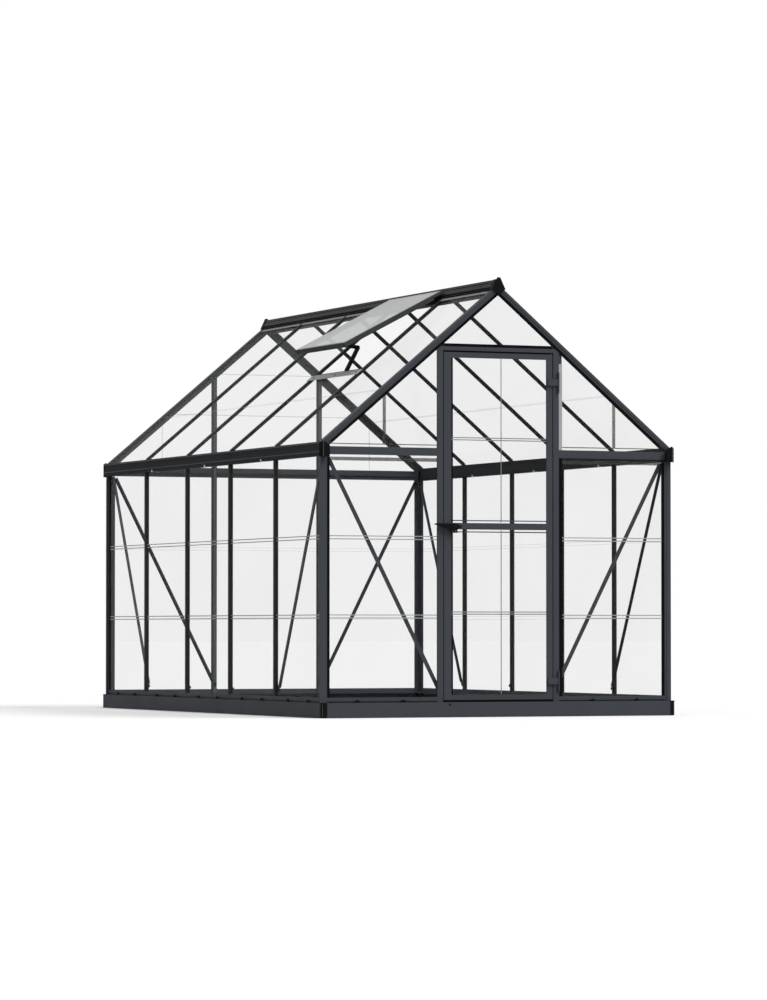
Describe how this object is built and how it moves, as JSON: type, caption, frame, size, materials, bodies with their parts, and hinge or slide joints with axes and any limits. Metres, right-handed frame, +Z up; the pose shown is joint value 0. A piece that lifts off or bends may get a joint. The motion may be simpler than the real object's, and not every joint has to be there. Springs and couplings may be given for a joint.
{
  "type": "hobby greenhouse",
  "caption": "Small gabled greenhouse: dark aluminium glazing bars, clear sheets, a hinged door in the front gable and a roof vent propped open.",
  "frame": {"origin": "on the ground, under the middle of the house", "axes": "+Z up, +Y from the front gable with the door to the rear gable, +X to the right seen from the front"},
  "size_m": [1.859, 3.084, 2.097],
  "materials": {
    "frame": "satin",
    "base": "satin",
    "plastic": "matte",
    "sheet": "clear"
  },
  "bodies": {
    "house": {"corner_posts": "frame", "left_mullions": "frame", "right_mullions": "frame", "door_posts": "frame", "rear_posts": "frame", "bottom_rails": "frame", "front_eave_bars": "frame", "rear_eave_bars": "frame", "glazing_strips": "frame", "door_header": "frame", "left_gutter": "frame", "right_gutter": "frame", "ridge_beam": "frame", "front_gable_rafters": "frame", "rear_gable_rafters": "frame", "left_rafters": "frame", "right_rafters": "frame", "wall_braces": "frame", "vent_frame": "frame", "vent_sill": "frame", "post_hinge_leaves": "frame", "base_front": "base", "base_rear": "base", "base_left": "base", "base_right": "base", "base_corners": "plastic", "gutter_caps": "plastic", "ridge_caps": "plastic", "vent_stay": "plastic", "front_wall_sheets": "sheet", "rear_wall_sheets": "sheet", "left_wall_sheets": "sheet", "right_wall_sheets": "sheet", "front_gable_sheets": "sheet", "rear_gable_sheets": "sheet", "left_roof_sheets": "sheet", "right_roof_sheets": "sheet", "vent_sheet": "sheet"},
    "door": {"door_stiles": "frame", "door_rails": "frame", "door_sheets": "sheet", "door_hinge_leaves": "frame", "handle_plate": "plastic"},
    "handle": {"door_handle": "plastic"}
  },
  "joints": [
    {"name": "door_swing", "type": "hinge", "parent": "house", "child": "door", "pos_m": [0.315, -1.5135, 0.9], "axis": [0, 0, 1], "range_deg": [0, 120]},
    {"name": "handle_turn", "type": "hinge", "parent": "door", "child": "handle", "pos_m": [-0.231, -1.52, 0.904], "axis": [0, -1, 0], "range_deg": [0, 90]}
  ]
}
